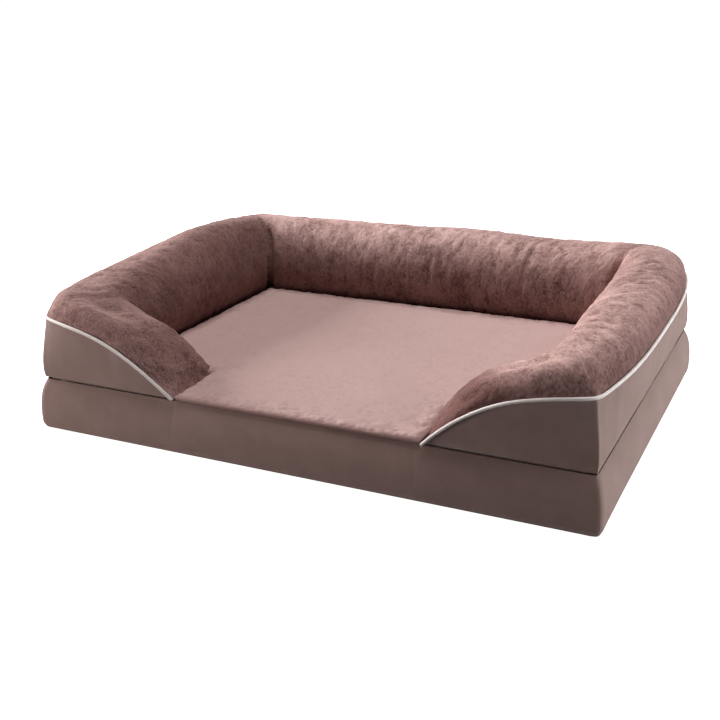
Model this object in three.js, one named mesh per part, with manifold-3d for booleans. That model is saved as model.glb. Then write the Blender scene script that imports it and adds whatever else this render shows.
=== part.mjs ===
// Pet cushion bed: a foam base under a U-shaped stuffed bolster, whose front ends taper down to an
// entrance.
// Units are millimetres, +Z is up, +X is the bed's right and -Y its front, and z = 0 is the floor.
import * as THREE from 'three';
import { mergeVertices } from 'three/addons/utils/BufferGeometryUtils.js';
import Module from 'manifold-3d';

// ---- Driving dimensions -------------------------------------------------------------------------
const BED_WIDTH = 800;
const BED_DEPTH = 580;
const BASE_HEIGHT = 74;
const CORNER_RADIUS = 14;
const PIPING_HEIGHT = 163.6;
const PIPING_RADIUS = 2.2;
const CROWN_HEIGHT = 216;
const BOLSTER_FOOT = 80; // width of a bolster where it stands on the base
const BOLSTER_BULGE = 104; // its greatest width, well above the foot
const BULGE_HEIGHT = 134;
const CROWN_INWARD = 50; // from the wall to the highest line
const WALL_RISE = 30; // how far the plush goes on upright above the piping
const CROWN_REACH = [30, 34]; // how long it stays level before and after the crown
const BULGE_REACH = [42, 22]; // how long it stays upright above and below the bulge
const FOOT_FLARE = [8, 18]; // inwards and upwards, the way it leaves the foot
const ENTRANCE_WIDTH = 348; // between the tips of the two front bolsters
const TIP_WALL = 0.107; // height of the wall at a front tip, as a share of its height elsewhere
const WALL_TAPER = 2.5; // a higher power keeps its height for longer before it falls to the tip
const FRONT_CROWN = 0.86; // height of the crown at the front corners, as a share of that at the back
const CROWN_RISE = 0.7; // share of a side's length over which the crown rises from the front
const CROWN_SLOPE = 0.34; // how much of its height the crown loses evenly on its way to a front tip
const CROWN_DROP = 0.22; // and how much of it just before the tip
const CROWN_TAPER = 5;
const TIP_NARROWING = 0.14; // how much narrower a bolster is at its tip, as a share of its width
const TIP_TAPER = 4;
const SIDE_BOW = 10; // how far the piping of a side bolster bellies out at mid-length
const FRONT_BOW = 8;
const CORNER_PULL = 11.5; // how far the piping is drawn in at a corner, each way
const CORNER_SHARPNESS = 3; // a higher power keeps the pull closer to the corner

const GAP = 0.3; // between pieces that are sewn or pressed together
const SEAM_SPACE = 1; // above and below the piping's centre
const FABRIC = 1.4;
const PLUSH = 2.6;
const FILL_LOOSENESS = 4; // between the covers and the stuffing
const FILL_TIP_SPACE = 20; // the stuffing stops this far short of a front tip
const FOAM_INSET = 6;
const PANEL_THICKNESS = 14;
const PANEL_BEVEL = 4;
const BAND_FOOT = FABRIC + 2 * GAP;

const ZIP_LENGTH = 640;
const ZIP_HEIGHT = BASE_HEIGHT / 2;
const ZIP_WINDOW = 12; // height of the slot in the back band
const TAPE = 0.8;
const TAPE_WIDTH = 12;
const TAPE_TAIL = 8;
const TOOTH_ROW = 2.4; // width and thickness of one row of teeth
const TOOTH_SPLIT = 0.6; // half the space between the two rows
const TOOTH_DEPTH = 1.3; // from the face of the back band in to the teeth
const ZIP_CLEARANCE = 0.4; // between pieces of the zip that slide or turn
const STOP_LENGTH = 3;
const SLIDER_LENGTH = 13;
const SLIDER_WIDTH = 10;
const SLIDER_PLATE = 1.5;
const SLIDER_OUTLINE = [[-0.5, 0.32], [0.1, 0.5], [0.5, 0.42]]; // shares of its length and width
const SLIDER_REST = -306; // the closed end
const ARCH_SPAN = 8;
const ARCH_BAR = 1.2;
const PULL_LENGTH = 26;
const PULL_WIDTH = 6.4;
const PULL_RIM = 1.2;
const PULL_BAR = 0.5; // half the thickness of the pull, and of its cross-bar

const HALF_WIDTH = BED_WIDTH / 2;
const HALF_DEPTH = BED_DEPTH / 2;
const HALF_ENTRANCE = ENTRANCE_WIDTH / 2;
const DECK_HEIGHT = BASE_HEIGHT + GAP;
const BOLSTER_BASE = DECK_HEIGHT + FABRIC + GAP;
const PANEL_EDGE = BOLSTER_FOOT + 9; // the sleeping panel starts this far in from the walls
const LENGTH_STEPS = 10;
const CURVE_POINTS = 6;
const WALL_POINTS = 3;
const PIPING_STATIONS = 12;
const PIPING_SIDES = 8;

const MATERIALS = {
  plush: { color: 0x9a7672, roughness: 1.0, metalness: 0 },
  sleep_plush: { color: 0xd0aaa6, roughness: 1.0, metalness: 0 },
  woven: { color: 0x8d736c, roughness: 0.9, metalness: 0 },
  piping: { color: 0xe9ddda, roughness: 0.8, metalness: 0 },
  lining: { color: 0x6f5f5c, roughness: 0.95, metalness: 0 },
  foam: { color: 0xe8dfc6, roughness: 0.95, metalness: 0 },
  fibre: { color: 0xf3f1ec, roughness: 1.0, metalness: 0 },
  zip_tape: { color: 0x7c645f, roughness: 0.9, metalness: 0 },
  zip_metal: { color: 0x9b9791, roughness: 0.35, metalness: 0.9 },
};

const bed = new THREE.Group();

function addPiece(parent, name, geometry, material) {
  const mesh = new THREE.Mesh(geometry, new THREE.MeshStandardMaterial(MATERIALS[material]));
  mesh.name = name;
  parent.add(mesh);
  return mesh;
}

// ---- Solid cuts and joins -----------------------------------------------------------------------
const wasm = await Module();
wasm.setup();

function toSolid(geometry) {
  const bare = geometry.clone();
  bare.deleteAttribute('normal');
  bare.deleteAttribute('uv');
  const merged = mergeVertices(bare, 1e-4);
  return new wasm.Manifold(new wasm.Mesh({
    numProp: 3,
    vertProperties: new Float32Array(merged.attributes.position.array),
    triVerts: new Uint32Array(merged.index.array),
  }));
}

function toGeometry(solid) {
  const mesh = solid.getMesh();
  const geometry = new THREE.BufferGeometry();
  geometry.setAttribute('position', new THREE.BufferAttribute(mesh.vertProperties, 3));
  geometry.setIndex(new THREE.BufferAttribute(mesh.triVerts, 1));
  geometry.computeVertexNormals();
  return geometry;
}

const cut = (body, tool) => toGeometry(toSolid(body).subtract(toSolid(tool)));
const join = (...bodies) => toGeometry(bodies.map(toSolid).reduce((sum, body) => sum.add(body)));

function block(from, to) {
  const size = to.map((value, axis) => value - from[axis]);
  const centre = to.map((value, axis) => (value + from[axis]) / 2);
  return new THREE.BoxGeometry(...size).translate(...centre);
}

// ---- Flat outlines ------------------------------------------------------------------------------
// A strip of even thickness on the left-hand side of a line of points.
function stripOutline(points, thickness) {
  const inner = points.map((point, i) => {
    const ahead = points[Math.min(i + 1, points.length - 1)];
    const behind = points[Math.max(i - 1, 0)];
    const direction = ahead.clone().sub(behind).normalize();
    return new THREE.Vector2(point.x - direction.y * thickness, point.y + direction.x * thickness);
  });
  return new THREE.Shape([...points, ...inner.reverse()]);
}

function roundedPlate(inset, bottom, top) {
  const x = HALF_WIDTH - CORNER_RADIUS;
  const y = HALF_DEPTH - CORNER_RADIUS;
  const radius = CORNER_RADIUS - inset;
  const outline = new THREE.Shape();
  outline.absarc(x, y, radius, 0, Math.PI / 2);
  outline.absarc(-x, y, radius, Math.PI / 2, Math.PI);
  outline.absarc(-x, -y, radius, Math.PI, Math.PI * 1.5);
  outline.absarc(x, -y, radius, Math.PI * 1.5, Math.PI * 2);
  return extrudeUp(outline, bottom, top);
}

function extrudeUp(outline, bottom, top, bevel = 0) {
  const options = {
    depth: top - bottom - 2 * bevel,
    curveSegments: 4,
    bevelEnabled: bevel > 0,
    bevelThickness: bevel,
    bevelSize: bevel,
    bevelOffset: -bevel,
    bevelSegments: 2,
  };
  const geometry = new THREE.ExtrudeGeometry(outline, options);
  return geometry.translate(0, 0, bottom + bevel);
}

// The T-shaped area between the bolsters, which reaches the front edge through the entrance.
function panelOutline(growth) {
  const side = HALF_WIDTH - PANEL_EDGE + growth;
  const back = HALF_DEPTH - PANEL_EDGE + growth;
  const stem = HALF_ENTRANCE - GAP * 10 + growth;
  const front = -HALF_DEPTH + GAP - growth;
  return new THREE.Shape([
    new THREE.Vector2(-stem, front),
    new THREE.Vector2(stem, front),
    new THREE.Vector2(stem, -back),
    new THREE.Vector2(side, -back),
    new THREE.Vector2(side, back),
    new THREE.Vector2(-side, back),
    new THREE.Vector2(-side, -back),
    new THREE.Vector2(-stem, -back),
  ]);
}

// ---- Base: foam, its cover and the deck that carries the bolsters -------------------------------
addPiece(bed, 'bottom_panel', roundedPlate(0, 0, FABRIC), 'lining');
addPiece(bed, 'foam_mattress', roundedPlate(FOAM_INSET, BAND_FOOT, BASE_HEIGHT - GAP), 'foam');

const panel = extrudeUp(panelOutline(0), DECK_HEIGHT, DECK_HEIGHT + PANEL_THICKNESS, PANEL_BEVEL);
addPiece(bed, 'sleeping_panel', panel, 'sleep_plush');

const deckPlate = roundedPlate(0, DECK_HEIGHT, DECK_HEIGHT + FABRIC);
const panelHole = extrudeUp(panelOutline(GAP), DECK_HEIGHT - FABRIC, DECK_HEIGHT + 2 * FABRIC);
addPiece(bed, 'bolster_deck', cut(deckPlate, panelHole), 'lining');

// A band starts and ends half-way round a corner, where its vertical seam is, or below a front tip.
// Corners are given as [side in x, side in y, first and last eighth of a turn].
function bandLine(corners, inset, tipSide) {
  const radius = CORNER_RADIUS - inset;
  const seam = GAP / 2 / radius;
  const line = corners.flatMap(([sideX, sideY, from, to]) => {
    const x = sideX * (HALF_WIDTH - CORNER_RADIUS);
    const y = sideY * (HALF_DEPTH - CORNER_RADIUS);
    const [start, end] = [from * Math.PI / 4 + seam, to * Math.PI / 4 - seam];
    return new THREE.EllipseCurve(x, y, radius, radius, start, end).getPoints(3);
  });
  const tip = new THREE.Vector2(tipSide * (HALF_ENTRANCE + GAP / 2), -HALF_DEPTH + inset);
  if (tipSide < 0) line.push(tip);
  if (tipSide > 0) line.unshift(tip);
  return line;
}

function bandGeometry(corners, tipSide = 0) {
  const inner = bandLine(corners, FABRIC, tipSide).reverse();
  const outline = new THREE.Shape([...bandLine(corners, 0, tipSide), ...inner]);
  return extrudeUp(outline, BAND_FOOT, BASE_HEIGHT);
}

addPiece(bed, 'right_band', bandGeometry([[1, -1, -1, 0], [1, 1, 0, 1]]), 'woven');
addPiece(bed, 'left_band', bandGeometry([[-1, 1, 3, 4], [-1, -1, 4, 5]]), 'woven');
addPiece(bed, 'front_band_left', bandGeometry([[-1, -1, 5, 6]], -1), 'woven');
addPiece(bed, 'front_band_right', bandGeometry([[1, -1, 6, 7]], 1), 'woven');
addPiece(bed, 'front_band_centre', block(
  [-HALF_ENTRANCE + GAP / 2, -HALF_DEPTH, BAND_FOOT],
  [HALF_ENTRANCE - GAP / 2, -HALF_DEPTH + FABRIC, BASE_HEIGHT],
), 'woven');

const windowReach = ZIP_LENGTH / 2 + STOP_LENGTH + 3 * GAP;
const zipWindow = block(
  [-windowReach, HALF_DEPTH - 2 * FABRIC, ZIP_HEIGHT - ZIP_WINDOW / 2],
  [windowReach, HALF_DEPTH + FABRIC, ZIP_HEIGHT + ZIP_WINDOW / 2],
);
addPiece(bed, 'back_band', cut(bandGeometry([[1, 1, 1, 2], [-1, 1, 2, 3]]), zipWindow), 'woven');

// ---- Bolsters -----------------------------------------------------------------------------------
// A section is drawn with x inwards from the wall face and y up. It runs from the piping over the
// crown and down the inner face to the foot.
function plushLine() {
  const start = [0, PIPING_HEIGHT + SEAM_SPACE];
  const crown = [CROWN_INWARD, CROWN_HEIGHT];
  const bulge = [BOLSTER_BULGE, BULGE_HEIGHT];
  const foot = [BOLSTER_FOOT, BOLSTER_BASE];
  const line = new THREE.Path();
  line.moveTo(...start);
  line.bezierCurveTo(start[0], start[1] + WALL_RISE, crown[0] - CROWN_REACH[0], crown[1], ...crown);
  line.bezierCurveTo(crown[0] + CROWN_REACH[1], crown[1], bulge[0], bulge[1] + BULGE_REACH[0], ...bulge);
  line.bezierCurveTo(
    bulge[0], bulge[1] - BULGE_REACH[1],
    foot[0] + FOOT_FLARE[0], foot[1] + FOOT_FLARE[1],
    ...foot,
  );
  return line.getPoints(CURVE_POINTS);
}

// The same line moved inwards, closed along the wall and the foot to hold the stuffing.
function fillOutline() {
  const inset = PLUSH + FILL_LOOSENESS;
  const bottom = BOLSTER_BASE + GAP;
  const shell = stripOutline(plushLine().reverse(), inset).getPoints();
  const inner = shell.slice(shell.length / 2).filter(({ x, y }) => x > inset && y > bottom);
  inner.unshift(new THREE.Vector2(inset, bottom));
  inner.push(new THREE.Vector2(BOLSTER_FOOT - inset, bottom));
  return new THREE.Shape(inner);
}

function wallOutline() {
  const top = PIPING_HEIGHT - SEAM_SPACE;
  const line = [];
  for (let i = 0; i <= WALL_POINTS; i += 1) {
    line.push(new THREE.Vector2(0, THREE.MathUtils.lerp(top, BOLSTER_BASE, i / WALL_POINTS)));
  }
  return stripOutline(line, FABRIC);
}

const LAYERS = {
  wall: { outline: wallOutline(), material: 'woven', tipSpace: GAP },
  plush: { outline: stripOutline(plushLine().reverse(), PLUSH), material: 'plush', tipSpace: GAP },
  fill: { outline: fillOutline(), material: 'fibre', tipSpace: FILL_TIP_SPACE },
};

// The runs follow each other anticlockwise. Each is drawn along local X with local Y inwards, and
// is then turned to its side of the bed. A tip is the low free end of a front run.
const RUNS = [
  { name: 'front_right', turn: 0, from: HALF_ENTRANCE, to: HALF_WIDTH, bow: FRONT_BOW, tip: 'start' },
  { name: 'right', turn: 1, from: -HALF_DEPTH, to: HALF_DEPTH, bow: SIDE_BOW },
  { name: 'back', turn: 2, from: -HALF_WIDTH, to: HALF_WIDTH, bow: FRONT_BOW },
  { name: 'left', turn: 3, from: -HALF_DEPTH, to: HALF_DEPTH, bow: SIDE_BOW },
  { name: 'front_left', turn: 0, from: -HALF_WIDTH, to: -HALF_ENTRANCE, bow: FRONT_BOW, tip: 'end' },
];
for (const run of RUNS) run.mitres = [run.tip === 'start' ? 0 : 1, run.tip === 'end' ? 0 : 1];

// How far a point is from the front corner that its run meets, from 0 to 1.
function fromCorner(run, share) {
  return run.name === 'right' || run.tip === 'end' ? share : 1 - share;
}

// Heights of the wall and of the crown behind it, as shares of the full height above the base. The
// crown is lower at the front, and falls over to the tips there.
function wallHeight(run, share) {
  if (!run.tip) return 1;
  return 1 - (1 - TIP_WALL) * fromCorner(run, share) ** WALL_TAPER;
}

function crownHeight(run, share) {
  if (run.name === 'back') return 1;
  const away = fromCorner(run, share);
  if (run.tip) return FRONT_CROWN - CROWN_SLOPE * away - CROWN_DROP * away ** CROWN_TAPER;
  return THREE.MathUtils.lerp(FRONT_CROWN, 1, THREE.MathUtils.smoothstep(away, 0, CROWN_RISE));
}

function runHeight(run, share, inward) {
  const behindWall = THREE.MathUtils.smoothstep(inward, 0, CROWN_INWARD);
  return THREE.MathUtils.lerp(wallHeight(run, share), crownHeight(run, share), behindWall);
}

// The piping bellies out between the corners and is drawn in at them, and the plush follows it as
// far as the crown. The wall's lower edge and the foot stay straight.
function seamPull(inward, z) {
  const height = THREE.MathUtils.clamp((z - BOLSTER_BASE) / (PIPING_HEIGHT - BOLSTER_BASE), 0, 1);
  return height * (1 - THREE.MathUtils.smoothstep(inward, CROWN_INWARD, BOLSTER_BULGE));
}

// A point of a run: share is along its length from 0 to 1, and inward is measured from its wall.
function runPoint(run, share, inward, z) {
  const pull = seamPull(inward, z);
  const corner = inward + pull * CORNER_PULL;
  const start = run.from + run.mitres[0] * corner;
  const end = run.to - run.mitres[1] * corner;
  const drawnIn = (share < 0.5 ? run.mitres[0] : run.mitres[1]) * CORNER_PULL;
  const bow = THREE.MathUtils.lerp(run.bow, -drawnIn, Math.abs(2 * share - 1) ** CORNER_SHARPNESS);
  const narrowing = run.tip && inward > 0 ? TIP_NARROWING * fromCorner(run, share) ** TIP_TAPER : 0;
  return new THREE.Vector3(
    THREE.MathUtils.lerp(start, end, share),
    inward * (1 - narrowing) - pull * bow,
    BOLSTER_BASE + (z - BOLSTER_BASE) * runHeight(run, share, inward),
  );
}

function runGeometry(run, outline, tipSpace) {
  const length = run.to - run.from;
  const [first, last] = run.mitres.map((mitre) => (mitre ? GAP : tipSpace) / length);
  const options = { depth: length, steps: LENGTH_STEPS, bevelEnabled: false };
  const geometry = new THREE.ExtrudeGeometry(outline, options);
  const position = geometry.attributes.position;
  for (let i = 0; i < position.count; i += 1) {
    const share = THREE.MathUtils.lerp(first, 1 - last, position.getZ(i) / length);
    const point = runPoint(run, share, position.getX(i), position.getY(i));
    position.setXYZ(i, ...point);
  }
  geometry.computeVertexNormals();
  return geometry;
}

for (const run of RUNS) {
  run.group = new THREE.Group();
  run.group.rotation.z = run.turn * Math.PI / 2;
  run.group.position.set(0, run.turn % 2 ? -HALF_WIDTH : -HALF_DEPTH, 0).applyEuler(run.group.rotation);
  bed.add(run.group);
  for (const [layer, { outline, material, tipSpace }] of Object.entries(LAYERS)) {
    addPiece(run.group, `${run.name}_${layer}`, runGeometry(run, outline, tipSpace), material);
  }
}

// ---- Piping round the top of the walls, from one front tip to the other -------------------------
// One point stands at each corner, where two runs meet.
function pipingPoints(run) {
  const points = [];
  const count = run.mitres[1] ? PIPING_STATIONS : PIPING_STATIONS + 1;
  for (let i = 0; i < count; i += 1) {
    const point = runPoint(run, i / PIPING_STATIONS, -PIPING_RADIUS - GAP, PIPING_HEIGHT);
    points.push(run.group.localToWorld(point));
  }
  return points;
}

function tube(points, radius, sides) {
  const circle = new THREE.Shape();
  circle.absarc(0, 0, radius, 0, Math.PI * 2);
  const path = new THREE.CatmullRomCurve3(points);
  // One step for each listed point puts a section exactly at every corner.
  path.getUtoTmapping = (share) => share;
  const options = { extrudePath: path, steps: points.length - 1, curveSegments: sides / 2 };
  return new THREE.ExtrudeGeometry(circle, options);
}

bed.updateMatrixWorld(true);
addPiece(bed, 'piping', tube(RUNS.flatMap(pipingPoints), PIPING_RADIUS, PIPING_SIDES), 'piping');

// ---- Zip in the back band: local X along the zip, local Y outwards, local Z up ------------------
const zip = new THREE.Group();
zip.position.set(0, HALF_DEPTH, ZIP_HEIGHT);
bed.add(zip);

// Each pair is an inner and an outer level, measured outwards from the face of the back band.
const teeth = [-TOOTH_DEPTH - TOOTH_ROW, -TOOTH_DEPTH];
const tape = [teeth[0] + (TOOTH_ROW - TAPE) / 2, teeth[0] + (TOOTH_ROW + TAPE) / 2];
const innerPlate = [teeth[0] - ZIP_CLEARANCE - SLIDER_PLATE, teeth[0] - ZIP_CLEARANCE];
const outerPlate = [teeth[1] + ZIP_CLEARANCE, teeth[1] + ZIP_CLEARANCE + SLIDER_PLATE];
const pullAxis = outerPlate[1] + PULL_BAR * Math.SQRT2 + ZIP_CLEARANCE;
const archUnderside = pullAxis + PULL_BAR * Math.SQRT2 + ZIP_CLEARANCE;
const archTop = archUnderside + ARCH_BAR;

function addZipHalf(name, side) {
  const strip = (reach, [inner, outer], near, far) => block(
    [-reach, inner, Math.min(side * near, side * far)],
    [reach, outer, Math.max(side * near, side * far)],
  );
  const rowEdge = TOOTH_SPLIT + TOOTH_ROW;
  const reach = ZIP_LENGTH / 2;
  const row = strip(reach, teeth, TOOTH_SPLIT, rowEdge);
  const band = strip(reach + TAPE_TAIL, tape, rowEdge + GAP, rowEdge + TAPE_WIDTH);
  addPiece(zip, `zip_teeth_${name}`, row, 'zip_tape');
  addPiece(zip, `zip_tape_${name}`, band, 'zip_tape');
}
addZipHalf('upper', 1);
addZipHalf('lower', -1);

for (const [name, side] of [['zip_stop_closed', -1], ['zip_stop_open', 1]]) {
  const near = side * (ZIP_LENGTH / 2 + GAP);
  const far = near + side * STOP_LENGTH;
  addPiece(zip, name, block(
    [Math.min(near, far), teeth[0], -TOOTH_SPLIT - TOOTH_ROW],
    [Math.max(near, far), teeth[1], TOOTH_SPLIT + TOOTH_ROW],
  ), 'zip_metal');
}

// The slider is two plates joined by a thin web between the rows, with an arch that holds the pull.
function sliderGeometry() {
  const edge = (side) => SLIDER_OUTLINE.map(
    ([along, across]) => new THREE.Vector2(along * SLIDER_LENGTH, side * across * SLIDER_WIDTH),
  );
  const plate = new THREE.Shape([...edge(-1), ...edge(1).reverse()]);
  const facing = ([inner, outer]) => extrudeUp(plate, inner, outer).rotateX(-Math.PI / 2);
  const web = block(
    [SLIDER_PLATE, innerPlate[1] - SLIDER_PLATE / 2, -TOOTH_SPLIT + GAP],
    [SLIDER_LENGTH / 2 - SLIDER_PLATE, outerPlate[0] + SLIDER_PLATE / 2, TOOTH_SPLIT - GAP],
  );
  const arch = new THREE.Shape(archLine(ARCH_SPAN / 2, outerPlate[0], archTop));
  arch.holes.push(new THREE.Path(archLine(ARCH_SPAN / 2 - ARCH_BAR, outerPlate[1], archUnderside)));
  return join(facing(outerPlate), facing(innerPlate), web, extrudeUp(arch, -ARCH_BAR, ARCH_BAR));
}

function archLine(half, foot, top) {
  const chamfer = ARCH_BAR / 2;
  return [
    new THREE.Vector2(-half, foot),
    new THREE.Vector2(half, foot),
    new THREE.Vector2(half, top - chamfer),
    new THREE.Vector2(half - chamfer, top),
    new THREE.Vector2(-half + chamfer, top),
    new THREE.Vector2(-half, top - chamfer),
  ];
}

// The pull lies along +X from its cross-bar, which passes under the arch.
function pullGeometry() {
  const half = PULL_WIDTH / 2;
  const outline = new THREE.Shape();
  outline.moveTo(-PULL_BAR, -half);
  outline.lineTo(PULL_LENGTH - half, -half);
  outline.absarc(PULL_LENGTH - half, 0, half, -Math.PI / 2, Math.PI / 2);
  outline.lineTo(-PULL_BAR, half);
  const eye = new THREE.Path([
    new THREE.Vector2(PULL_BAR, -half + PULL_RIM),
    new THREE.Vector2(PULL_BAR, half - PULL_RIM),
    new THREE.Vector2(ARCH_SPAN, half - PULL_RIM),
    new THREE.Vector2(ARCH_SPAN, -half + PULL_RIM),
  ]);
  outline.holes.push(eye);
  return extrudeUp(outline, -PULL_BAR, PULL_BAR).rotateX(-Math.PI / 2);
}

addPiece(zip, 'zip_slider', sliderGeometry(), 'zip_metal').position.x = SLIDER_REST;
addPiece(zip, 'zip_pull', pullGeometry(), 'zip_metal').position.set(SLIDER_REST, pullAxis, 0);

export default bed;
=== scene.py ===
"""Pet cushion bed: a U-shaped stuffed plush bolster with piped woven walls on a foam base, in metres.

Every soft piece is a closed mesh made here. The bolster and the cover of the base are inflated by a
cloth simulation, and the piled surface is then worked out from it at a finer step.
"""
import math

import bpy
import numpy as np
from mathutils import Matrix, Vector


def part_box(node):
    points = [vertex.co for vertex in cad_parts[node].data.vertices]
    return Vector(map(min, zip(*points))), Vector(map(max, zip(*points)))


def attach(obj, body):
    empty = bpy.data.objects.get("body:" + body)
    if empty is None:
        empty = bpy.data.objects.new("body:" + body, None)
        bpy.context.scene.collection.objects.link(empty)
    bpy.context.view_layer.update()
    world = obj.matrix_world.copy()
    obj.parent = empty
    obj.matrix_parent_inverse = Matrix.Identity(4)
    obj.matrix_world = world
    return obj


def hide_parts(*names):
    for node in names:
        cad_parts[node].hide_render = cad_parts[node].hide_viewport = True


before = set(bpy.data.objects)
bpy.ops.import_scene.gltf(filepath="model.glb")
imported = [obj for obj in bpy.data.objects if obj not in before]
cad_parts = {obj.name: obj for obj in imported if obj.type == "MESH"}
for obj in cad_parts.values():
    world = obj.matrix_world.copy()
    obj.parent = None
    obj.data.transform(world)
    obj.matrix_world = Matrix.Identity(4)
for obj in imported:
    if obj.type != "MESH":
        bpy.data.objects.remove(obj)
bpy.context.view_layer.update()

# ---- Places and sizes taken from the frame ----
BOTTOM_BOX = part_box("bottom_panel")
BAND_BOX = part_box("front_band_centre")
PANEL_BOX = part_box("sleeping_panel")
FOAM_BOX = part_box("foam_mattress")
HALF_WIDTH = BOTTOM_BOX[1].x
HALF_DEPTH = BOTTOM_BOX[1].y
FABRIC = BOTTOM_BOX[1].z
BASE_TOP = BAND_BOX[1].z
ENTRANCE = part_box("front_right_wall")[0].x
BOLSTER_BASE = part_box("back_wall")[0].z
PIPING_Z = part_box("back_wall")[1].z + 0.001
CROWN_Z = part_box("back_plush")[1].z

# ---- Shape of the bolster, the same as the CAD solids where they share a value ----
FOOT = 0.080  # width where it stands on the base
BULGE = 0.102  # greatest width
BULGE_Z = 0.134
CROWN_INWARD = 0.050
SIDE_BOW = 0.010  # the piping bows out by this much halfway along a side,
FRONT_BOW = 0.008  # by this much along the front and back,
CORNER_PULL = 0.0115  # and is drawn in by this much at the corners
SEAM_INSET = 0.0045  # the seam round the top of the base is drawn in by this much
BASE_SWELL = 0.005  # the sides of the base swell out by up to this much before they are inflated
PLUSH_THICK = 0.0026
PIPING_RADIUS = 0.0022
CORNER_RADIUS = 0.007  # of the base
FRONT_CROWN = 0.88  # height of the crown at the front corners, as a share of the full height
TIP_ROUND = 0.012
RIGHT_TIP_SHORT = 0.011  # the right tip ends short of the seam in the front band by this much
STEM = ENTRANCE - 0.003  # half the width of the sleeping panel between the tips
FILL_GAP = 0.012  # the stuffing is drawn this far inside its cover
FOAM_GAP = 0.007  # and the foam this far inside its CAD solid, clear of the drawn-in seam
FOAM_ROUND = 0.014
DECK_INSET = 0.0055
PANEL_UNDER = 0.004  # the sleeping panel bulges this far below its seam
BOTTOM_INSET = 0.0035

STEP = 0.008  # spacing of the simulated cloth of the bolster
BAND_STEP = 0.007  # and of the cover of the base
WALL_ROWS = 12
PLUSH_ROWS = 34
BOTTOM_ROWS = 6
BAND_ROWS = 12
PLUSH_FINE = 5  # finer steps of the piled surface to each simulated one
WALL_FINE = 4
BAND_FINE = 3
CLUMP = 0.0036  # size of a clump of pile
SEED = 7

# The runs follow each other anticlockwise. A tip is the low free end of a front run: 0 at its start or
# 1 at its end. A ridge gives heights of the crown, evenly spaced, as shares of the full height. The
# painted shade is how much darker the pile is painted on the inner face, where that begins and is full
# on the way over the plush, and how much darker it is painted on the outer face and at the tip.
RUNS = [
    dict(name="front_right", turn=0, start=ENTRANCE + RIGHT_TIP_SHORT, end=HALF_WIDTH,
         tip=0, nap=0.20, nap_from=(0.50, 0.90), nap_out=0.50, nap_tip=0.86,
         ridge=(0.16, 0.42, 0.60, 0.69, 0.775, FRONT_CROWN)),
    dict(name="right", turn=1, start=-HALF_DEPTH, end=HALF_DEPTH, tip=None,
         nap=0.20, nap_from=(0.70, 1.00), nap_out=0.85,
         ridge=(FRONT_CROWN, 0.90, 0.93, 0.95, 0.97, 1.03)),
    dict(name="back", turn=2, start=-HALF_WIDTH, end=HALF_WIDTH, tip=None,
         nap=0.68, nap_from=(0.42, 0.75), nap_out=0.0, ridge=(1.03, 0.95, 0.99, 0.96, 0.95, 0.97)),
    dict(name="left", turn=3, start=-HALF_DEPTH, end=HALF_DEPTH, tip=None,
         nap=0.82, nap_from=(0.02, 0.55), nap_out=0.40, ridge=(0.97, 1.03, 1.04, 0.965, 0.90, 0.86)),
    dict(name="front_left", turn=0, start=-HALF_WIDTH, end=-ENTRANCE, tip=1,
         nap=0.60, nap_from=(0.0, 0.30), nap_out=0.50, nap_tip=0.0,
         ridge=(FRONT_CROWN, 0.76, 0.675, 0.585, 0.39, 0.13)),
]


# ---- Noise ----
def hashed(cell, seed):
    """A number from 0 to 1 for each whole-number cell, the same on every run."""
    x, y, z = (cell[..., k].astype(np.int64).astype(np.uint64) for k in range(3))
    h = x * np.uint64(0x9E3779B185EBCA87) ^ y * np.uint64(0xC2B2AE3D27D4EB4F)
    h ^= z * np.uint64(0x165667B19E3779F9) + np.uint64(seed * 0x27D4EB2F165667C5 % 2**64)
    h ^= h >> np.uint64(33)
    h *= np.uint64(0xFF51AFD7ED558CCD)
    h ^= h >> np.uint64(33)
    return (h >> np.uint64(40)).astype(float) / float(1 << 24)


def soft_noise(points, size, seed):
    """Smooth noise from -1 to 1 whose lumps are about size across."""
    p = points / size
    cell = np.floor(p)
    f = p - cell
    f = f * f * (3 - 2 * f)
    total = 0
    for corner in np.ndindex(2, 2, 2):
        weight = np.prod(np.where(np.array(corner) == 1, f, 1 - f), axis=-1)
        total = total + weight * hashed(cell + np.array(corner), seed)
    return total * 2 - 1


def points_at(*coordinates):
    """Points from their coordinates, each an array or one number for all of them."""
    return np.stack(np.broadcast_arrays(*coordinates), axis=-1)


def noise_vectors(points, size, seed):
    return points_at(*(soft_noise(points, size, seed + k) for k in range(3)))


def layered_noise(points, size, seed, layers=3):
    """Noise with ever finer and fainter layers added."""
    total = sum(soft_noise(points, size / 2**k, seed + k) / 2**k for k in range(layers))
    return total / sum(1 / 2**k for k in range(layers))


def clumps(points, size, seed):
    """Clumps of pile: 1 in the middle of each, falling to 0 between them."""
    p = points / size
    cell = np.floor(p)
    nearest = np.full(p.shape[:-1], 9.0)
    for corner in np.ndindex(3, 3, 3):
        at = cell + np.array(corner) - 1
        centre = at + points_at(*(hashed(at, seed + k) for k in range(3)))
        nearest = np.minimum(nearest, ((p - centre) ** 2).sum(-1))
    return np.clip(1 - nearest, 0, 1)


def smoothstep(x, low, high):
    t = np.clip((x - low) / (high - low), 0, 1)
    return t * t * (3 - 2 * t)


def fading(x, low, high):
    return 1 - smoothstep(x, low, high)


def rolled(depth, radius):
    """Height of a rounded edge as a share of the full height."""
    return np.sqrt(1 - (1 - np.clip(depth / radius, 0, 1)) ** 2)


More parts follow.
